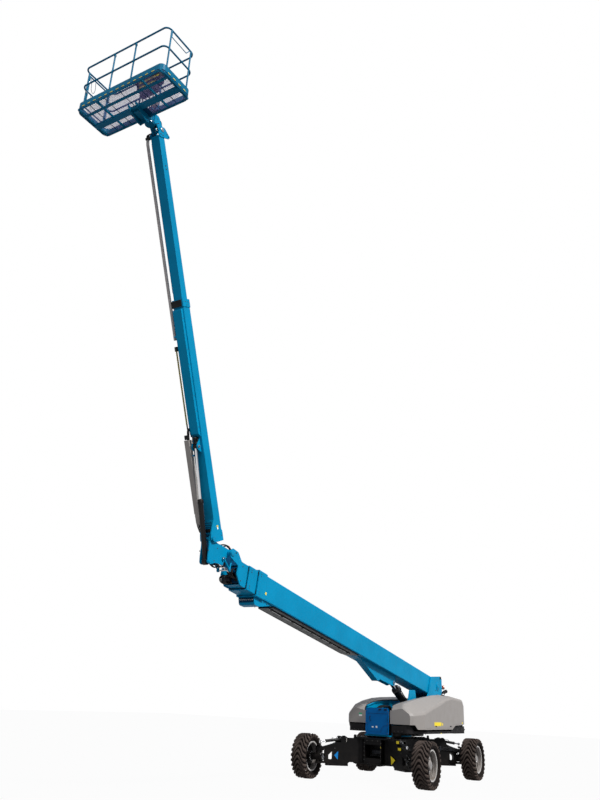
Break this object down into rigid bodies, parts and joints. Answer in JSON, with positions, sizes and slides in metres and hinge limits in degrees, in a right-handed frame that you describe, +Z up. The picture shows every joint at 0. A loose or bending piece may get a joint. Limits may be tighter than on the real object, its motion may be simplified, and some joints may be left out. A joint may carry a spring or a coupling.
{
  "type": "telescopic boom lift",
  "caption": "Self-propelled telescopic boom lift on four swing-out axle legs, with a telescopic jib and a railed work platform.",
  "frame": {"origin": "on the ground under the slewing axis, midway between the four wheels", "axes": "+X forward along the boom, +Y to the machine's left, +Z up"},
  "size_m": [17.3851, 4.1132, 14.8963],
  "materials": {
    "boom_blue": "gloss",
    "chassis_black": "satin",
    "tray_black": "satin",
    "dark_grey": "satin",
    "counterweight_grey": "satin",
    "engine_grey": "matte",
    "cowl_grey": "satin",
    "beacon_orange": "gloss",
    "cylinder_black": "satin",
    "rod_chrome": "polished",
    "tray_grey": "satin",
    "floor_mesh": "matte",
    "rim_silver": "satin",
    "tyre_rubber": "matte"
  },
  "bodies": {
    "chassis": {"chassis_frame": "chassis_black", "slew_ring": "chassis_black"},
    "turret": {"turret_frame": "boom_blue", "front_panel": "boom_blue", "side_trays": "tray_black", "counterweight": "counterweight_grey", "engine_block": "engine_grey", "warning_beacon": "beacon_orange"},
    "cowl_left": {"cowl_left": "cowl_grey"},
    "cowl_right": {"cowl_right": "cowl_grey"},
    "lift_barrel": {"lift_cylinder": "cylinder_black"},
    "lift_rod": {"lift_rod": "rod_chrome"},
    "boom_base": {"boom_base": "boom_blue", "boom_tray": "dark_grey"},
    "boom_mid": {"boom_mid": "boom_blue"},
    "boom_inner": {"boom_inner": "boom_blue"},
    "level_barrel": {"level_cylinder": "cylinder_black"},
    "level_rod": {"level_rod": "rod_chrome"},
    "knuckle": {"jib_knuckle": "boom_blue"},
    "jib": {"jib_outer": "boom_blue", "jib_channel": "boom_blue", "hose_tray": "tray_grey"},
    "jib_barrel": {"jib_cylinder": "cylinder_black"},
    "jib_rod": {"jib_rod": "rod_chrome"},
    "jib_fly": {"jib_fly": "boom_blue"},
    "leveller": {"platform_leveller": "boom_blue"},
    "platform": {"platform_base": "boom_blue", "platform_floor": "floor_mesh", "platform_side_rails": "boom_blue", "platform_end_rails": "boom_blue", "control_box": "dark_grey"},
    "gate": {"platform_gate": "boom_blue"},
    "leg_front_left": {"axle_leg_front_left": "chassis_black"},
    "knuckle_front_left": {"knuckle_front_left": "chassis_black"},
    "wheel_front_left": {"rim_front_left": "rim_silver", "tyre_front_left": "tyre_rubber"},
    "steer_barrel_front_left": {"steer_cylinder_front_left": "cylinder_black"},
    "steer_rod_front_left": {"steer_rod_front_left": "rod_chrome"},
    "leg_front_right": {"axle_leg_front_right": "chassis_black"},
    "knuckle_front_right": {"knuckle_front_right": "chassis_black"},
    "wheel_front_right": {"rim_front_right": "rim_silver", "tyre_front_right": "tyre_rubber"},
    "steer_barrel_front_right": {"steer_cylinder_front_right": "cylinder_black"},
    "steer_rod_front_right": {"steer_rod_front_right": "rod_chrome"},
    "leg_rear_left": {"axle_leg_rear_left": "chassis_black"},
    "knuckle_rear_left": {"knuckle_rear_left": "chassis_black"},
    "wheel_rear_left": {"rim_rear_left": "rim_silver", "tyre_rear_left": "tyre_rubber"},
    "steer_barrel_rear_left": {"steer_cylinder_rear_left": "cylinder_black"},
    "steer_rod_rear_left": {"steer_rod_rear_left": "rod_chrome"},
    "leg_rear_right": {"axle_leg_rear_right": "chassis_black"},
    "knuckle_rear_right": {"knuckle_rear_right": "chassis_black"},
    "wheel_rear_right": {"rim_rear_right": "rim_silver", "tyre_rear_right": "tyre_rubber"},
    "steer_barrel_rear_right": {"steer_cylinder_rear_right": "cylinder_black"},
    "steer_rod_rear_right": {"steer_rod_rear_right": "rod_chrome"}
  },
  "joints": [
    {"name": "slew", "type": "hinge", "parent": "chassis", "child": "turret", "pos_m": [0, 0, 1.151], "axis": [0, 0, 1], "continuous": true},
    {"name": "boom_lift", "type": "hinge", "parent": "turret", "child": "boom_base", "pos_m": [-2.95, 0, 2.62], "axis": [0, -1, 0], "range_deg": [-9, 68.4]},
    {"name": "lift_barrel_swing", "type": "hinge", "parent": "turret", "child": "lift_barrel", "pos_m": [-2.155, 0, 1.35], "axis": [0, -1, 0], "range_deg": [-7.46, 56.62]},
    {"name": "lift_rod_slide", "type": "slide", "parent": "lift_barrel", "child": "lift_rod", "axis": [0.8797, 0, 0.4755], "range_m": [-0.2035, 1.54]},
    {"name": "boom_extend", "type": "slide", "parent": "boom_base", "child": "boom_mid", "axis": [0.9861, 0, 0.1663], "range_m": [0, 9.1]},
    {"name": "boom_extend_inner", "type": "slide", "parent": "boom_mid", "child": "boom_inner", "axis": [0.9861, 0, 0.1663], "range_m": [0, 9.1]},
    {"name": "knuckle_level", "type": "hinge", "parent": "boom_inner", "child": "knuckle", "pos_m": [8.88088, 0, 4.8682], "axis": [0, -1, 0], "range_deg": [-68.4, 9]},
    {"name": "level_barrel_swing", "type": "hinge", "parent": "boom_inner", "child": "level_barrel", "pos_m": [8.00074, 0, 4.31417], "axis": [0, -1, 0], "range_deg": [-0.18, 1.34]},
    {"name": "level_rod_slide", "type": "slide", "parent": "level_barrel", "child": "level_rod", "axis": [0.9608, 0, 0.2774], "range_m": [-0.3799, 0.0509]},
    {"name": "jib_luff", "type": "hinge", "parent": "knuckle", "child": "jib", "pos_m": [9.50488, 0, 5.0602], "axis": [0, -1, 0], "range_deg": [-123.4, 1.6]},
    {"name": "jib_barrel_swing", "type": "hinge", "parent": "knuckle", "child": "jib_barrel", "pos_m": [9.51988, 0, 4.5902], "axis": [0, -1, 0], "range_deg": [-118.31, 1.54]},
    {"name": "jib_rod_slide", "type": "slide", "parent": "jib_barrel", "child": "jib_rod", "axis": [0.2835, 0, 0.959], "range_m": [-0.8101, 0.0115]},
    {"name": "jib_extend", "type": "slide", "parent": "jib", "child": "jib_fly", "axis": [0.3681, 0, 0.9298], "range_m": [-3.66, 0]},
    {"name": "platform_level", "type": "hinge", "parent": "jib_fly", "child": "leveller", "pos_m": [12.60013, 0, 13.60049], "axis": [0, -1, 0], "range_deg": [-1.6, 123.4]},
    {"name": "platform_rotate", "type": "hinge", "parent": "leveller", "child": "platform", "pos_m": [12.87013, 0, 13.62049], "axis": [0, 0, 1], "range_deg": [-80, 80]},
    {"name": "gate_swing", "type": "hinge", "parent": "platform", "child": "gate", "pos_m": [13.71913, -1.201, 14.31049], "axis": [0, 0, -1], "range_deg": [0, 90]},
    {"name": "cowl_left_lift", "type": "hinge", "parent": "turret", "child": "cowl_left", "pos_m": [0, 0.442, 2.18], "axis": [1, 0, 0], "range_deg": [0, 55]},
    {"name": "cowl_right_lift", "type": "hinge", "parent": "turret", "child": "cowl_right", "pos_m": [0, -0.442, 2.125], "axis": [-1, 0, 0], "range_deg": [0, 55]},
    {"name": "leg_swing_front_left", "type": "hinge", "parent": "chassis", "child": "leg_front_left", "pos_m": [1.26463, 0.47331, 0.77], "axis": [0, 0, 1], "range_deg": [-40.5, 0]},
    {"name": "steer_front_left", "type": "hinge", "parent": "leg_front_left", "child": "knuckle_front_left", "pos_m": [1.99152, 1.45861, 0.7], "axis": [0, 0, 1], "range_deg": [-40, 40]},
    {"name": "wheel_spin_front_left", "type": "hinge", "parent": "knuckle_front_left", "child": "wheel_front_left", "pos_m": [1.97927, 1.8184, 0.575], "axis": [-0.034, 0.9994, 0], "continuous": true},
    {"name": "steer_barrel_swing_front_left", "type": "hinge", "parent": "leg_front_left", "child": "steer_barrel_front_left", "pos_m": [1.65301, 0.93239, 1.035], "axis": [0, 0, 1], "range_deg": [-1.47, 1.47]},
    {"name": "steer_rod_slide_front_left", "type": "slide", "parent": "steer_barrel_front_left", "child": "steer_rod_front_left", "axis": [0.7401, 0.6623, -0.1168], "range_m": [-0.1099, 0.1099]},
    {"name": "leg_swing_front_right", "type": "hinge", "parent": "chassis", "child": "leg_front_right", "pos_m": [1.29389, -0.3862, 0.77], "axis": [0, 0, -1], "range_deg": [-40.5, 0]},
    {"name": "steer_front_right", "type": "hinge", "parent": "leg_front_right", "child": "knuckle_front_right", "pos_m": [2.08612, -1.31978, 0.7], "axis": [0, 0, 1], "range_deg": [-40, 40]},
    {"name": "wheel_spin_front_right", "type": "hinge", "parent": "knuckle_front_right", "child": "wheel_front_right", "pos_m": [2.09837, -1.67957, 0.575], "axis": [-0.034, 0.9994, 0], "continuous": true},
    {"name": "steer_barrel_swing_front_right", "type": "hinge", "parent": "leg_front_right", "child": "steer_barrel_front_right", "pos_m": [1.7126, -0.8178, 1.035], "axis": [0, 0, 1], "range_deg": [-1.47, 1.47]},
    {"name": "steer_rod_slide_front_right", "type": "slide", "parent": "steer_barrel_front_right", "child": "steer_rod_front_right", "axis": [0.7835, -0.6104, -0.1168], "range_m": [-0.1099, 0.1099]},
    {"name": "leg_swing_rear_left", "type": "hinge", "parent": "chassis", "child": "leg_rear_left", "pos_m": [-1.29389, 0.3862, 0.77], "axis": [0, 0, -1], "range_deg": [-40.5, 0]},
    {"name": "steer_rear_left", "type": "hinge", "parent": "leg_rear_left", "child": "knuckle_rear_left", "pos_m": [-2.08612, 1.31978, 0.7], "axis": [0, 0, 1], "range_deg": [-40, 40]},
    {"name": "wheel_spin_rear_left", "type": "hinge", "parent": "knuckle_rear_left", "child": "wheel_rear_left", "pos_m": [-2.09837, 1.67957, 0.575], "axis": [-0.034, 0.9994, 0], "continuous": true},
    {"name": "steer_barrel_swing_rear_left", "type": "hinge", "parent": "leg_rear_left", "child": "steer_barrel_rear_left", "pos_m": [-1.7126, 0.8178, 1.035], "axis": [0, 0, 1], "range_deg": [-1.47, 1.47]},
    {"name": "steer_rod_slide_rear_left", "type": "slide", "parent": "steer_barrel_rear_left", "child": "steer_rod_rear_left", "axis": [-0.7835, 0.6104, -0.1168], "range_m": [-0.1099, 0.1099]},
    {"name": "leg_swing_rear_right", "type": "hinge", "parent": "chassis", "child": "leg_rear_right", "pos_m": [-1.26463, -0.47331, 0.77], "axis": [0, 0, 1], "range_deg": [-40.5, 0]},
    {"name": "steer_rear_right", "type": "hinge", "parent": "leg_rear_right", "child": "knuckle_rear_right", "pos_m": [-1.99152, -1.45861, 0.7], "axis": [0, 0, 1], "range_deg": [-40, 40]},
    {"name": "wheel_spin_rear_right", "type": "hinge", "parent": "knuckle_rear_right", "child": "wheel_rear_right", "pos_m": [-1.97927, -1.8184, 0.575], "axis": [-0.034, 0.9994, 0], "continuous": true},
    {"name": "steer_barrel_swing_rear_right", "type": "hinge", "parent": "leg_rear_right", "child": "steer_barrel_rear_right", "pos_m": [-1.65301, -0.93239, 1.035], "axis": [0, 0, 1], "range_deg": [-1.47, 1.47]},
    {"name": "steer_rod_slide_rear_right", "type": "slide", "parent": "steer_barrel_rear_right", "child": "steer_rod_rear_right", "axis": [-0.7401, -0.6623, -0.1168], "range_m": [-0.1099, 0.1099]}
  ],
  "couplings": [
    {"joint": "lift_barrel_swing", "follows": "boom_lift", "ratio": 0.82757},
    {"joint": "lift_rod_slide", "follows": "boom_lift", "m_per_rad": 1.2892},
    {"joint": "boom_extend_inner", "follows": "boom_extend", "ratio": 1},
    {"joint": "knuckle_level", "follows": "boom_lift", "ratio": -1},
    {"joint": "level_barrel_swing", "follows": "boom_lift", "ratio": 0.019399},
    {"joint": "level_rod_slide", "follows": "boom_lift", "m_per_rad": -0.31737},
    {"joint": "jib_barrel_swing", "follows": "jib_luff", "ratio": 0.95865},
    {"joint": "jib_rod_slide", "follows": "jib_luff", "m_per_rad": 0.37566},
    {"joint": "platform_level", "follows": "jib_luff", "ratio": -1},
    {"joint": "steer_barrel_swing_front_left", "follows": "steer_front_left", "ratio": 0.036546},
    {"joint": "steer_rod_slide_front_left", "follows": "steer_front_left", "m_per_rad": 0.15593},
    {"joint": "steer_barrel_swing_front_right", "follows": "steer_front_right", "ratio": 0.036546},
    {"joint": "steer_rod_slide_front_right", "follows": "steer_front_right", "m_per_rad": -0.15593},
    {"joint": "steer_barrel_swing_rear_left", "follows": "steer_rear_left", "ratio": 0.036546},
    {"joint": "steer_rod_slide_rear_left", "follows": "steer_rear_left", "m_per_rad": -0.15593},
    {"joint": "steer_barrel_swing_rear_right", "follows": "steer_rear_right", "ratio": 0.036546},
    {"joint": "steer_rod_slide_rear_right", "follows": "steer_rear_right", "m_per_rad": 0.15593}
  ]
}
